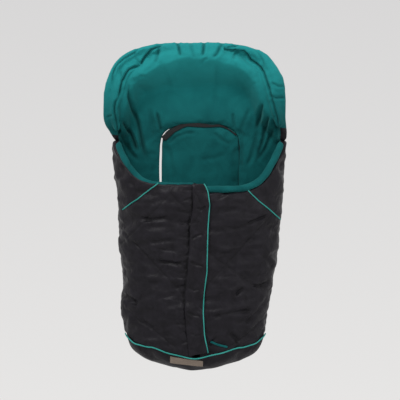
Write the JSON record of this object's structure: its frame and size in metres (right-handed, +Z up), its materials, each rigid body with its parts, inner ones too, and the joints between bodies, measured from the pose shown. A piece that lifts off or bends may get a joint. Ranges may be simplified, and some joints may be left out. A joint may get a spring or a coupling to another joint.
{
  "type": "stroller footmuff",
  "caption": "Padded footmuff with a hood, a zipped front under a cover strip, a harness flap cut in the back and straps behind the hood that hold it.",
  "frame": {"origin": "on the flat rear face of the back panel, on its middle line, 0.3 m above the muff's foot", "axes": "+Z up along the hanging muff, towards the hood; +Y out of the flat back, so the front opening faces -Y; +X to the right as seen from the front"},
  "size_m": [0.4458, 0.205, 0.7895],
  "materials": {
    "quilted_nylon": "black padded nylon",
    "fleece": "teal fleece",
    "wadding": "polyester wadding",
    "woven_tape": "black woven tape",
    "elastic": "covered elastic cord",
    "moulded_plastic": "moulded black plastic",
    "zip_metal": "black lacquered zinc",
    "woven_label": "bare woven label"
  },
  "bodies": {
    "back_and_hood": {"back_outer": "quilted_nylon", "back_wadding": "wadding", "back_lining": "fleece", "back_loop_tape": "woven_tape", "hood_outer": "quilted_nylon", "hood_wadding": "wadding", "hood_lining": "fleece", "hood_hem": "fleece", "hood_elastic": "elastic", "toe_outer": "quilted_nylon", "toe_wadding": "wadding", "toe_lining": "fleece", "toe_piping": "fleece", "label": "woven_label", "strap_base_left": "woven_tape", "strap_base_right": "woven_tape", "strap_loop_patch_left": "woven_tape", "strap_loop_patch_right": "woven_tape"},
    "left_front": {"left_outer": "quilted_nylon", "left_shoulder": "quilted_nylon", "left_wadding": "wadding", "left_lining": "fleece", "left_rim_roll": "fleece", "left_shoulder_piping": "fleece", "zip_tape_left": "woven_tape", "top_stop_left": "moulded_plastic", "zip_box": "moulded_plastic"},
    "right_front": {"right_outer": "quilted_nylon", "right_shoulder": "quilted_nylon", "right_wadding": "wadding", "right_lining": "fleece", "right_rim_roll": "fleece", "right_shoulder_piping": "fleece", "zip_tape_right": "woven_tape", "top_stop_right": "moulded_plastic", "zip_pin": "moulded_plastic"},
    "cover_flap": {"cover_strip": "quilted_nylon", "cover_piping": "fleece"},
    "slider": {"zip_slider": "zip_metal"},
    "puller": {"zip_puller": "zip_metal"},
    "harness_flap": {"flap_outer": "quilted_nylon", "flap_wadding": "wadding", "flap_lining": "fleece", "flap_hook_tape": "woven_tape"},
    "left_strap": {"strap_left": "woven_tape", "strap_hook_patch_left": "woven_tape"},
    "right_strap": {"strap_right": "woven_tape", "strap_hook_patch_right": "woven_tape"}
  },
  "joints": [
    {"name": "left_front_swing", "type": "hinge", "parent": "back_and_hood", "child": "left_front", "pos_m": [-0.204, -0.0154, 0.255], "axis": [0.0298, 0, -0.9996], "range_deg": [0, 110]},
    {"name": "right_front_swing", "type": "hinge", "parent": "back_and_hood", "child": "right_front", "pos_m": [0.215, -0.0154, 0.255], "axis": [0.0637, 0, 0.998], "range_deg": [0, 82.5]},
    {"name": "cover_flap_turn", "type": "hinge", "parent": "left_front", "child": "cover_flap", "pos_m": [-0.02399, -0.11173, -0.24744], "axis": [-0.029, 0.0581, -0.9979], "range_deg": [0, 95]},
    {"name": "slider_run", "type": "slide", "parent": "left_front", "child": "slider", "axis": [-0.029, 0.0581, -0.9979], "range_m": [0, 0.34], "deforming": ["zip_tape_left", "zip_tape_right"]},
    {"name": "puller_turn", "type": "hinge", "parent": "slider", "child": "puller", "pos_m": [0.00639, -0.13273, 0.10901], "axis": [-0.9996, -0.0017, 0.029], "range_deg": [0, 54]},
    {"name": "harness_flap_turn", "type": "hinge", "parent": "back_and_hood", "child": "harness_flap", "pos_m": [0.006, 0, 0.11], "axis": [-1, 0, 0], "range_deg": [0, 150]},
    {"name": "left_strap_turn", "type": "hinge", "parent": "back_and_hood", "child": "left_strap", "pos_m": [-0.068, -0.01702, 0.46469], "axis": [1, 0, 0], "range_deg": [0, 75]},
    {"name": "right_strap_turn", "type": "hinge", "parent": "back_and_hood", "child": "right_strap", "pos_m": [0.056, -0.01734, 0.46469], "axis": [1, 0, 0], "range_deg": [0, 75]}
  ],
  "couplings": [
    {"joint": "right_front_swing", "follows": "left_front_swing", "ratio": 0.75},
    {"joint": "slider_run", "follows": "left_front_swing", "m_per_rad": 0.17658},
    {"joint": "puller_turn", "follows": "cover_flap_turn", "ratio": 0.5674}
  ]
}
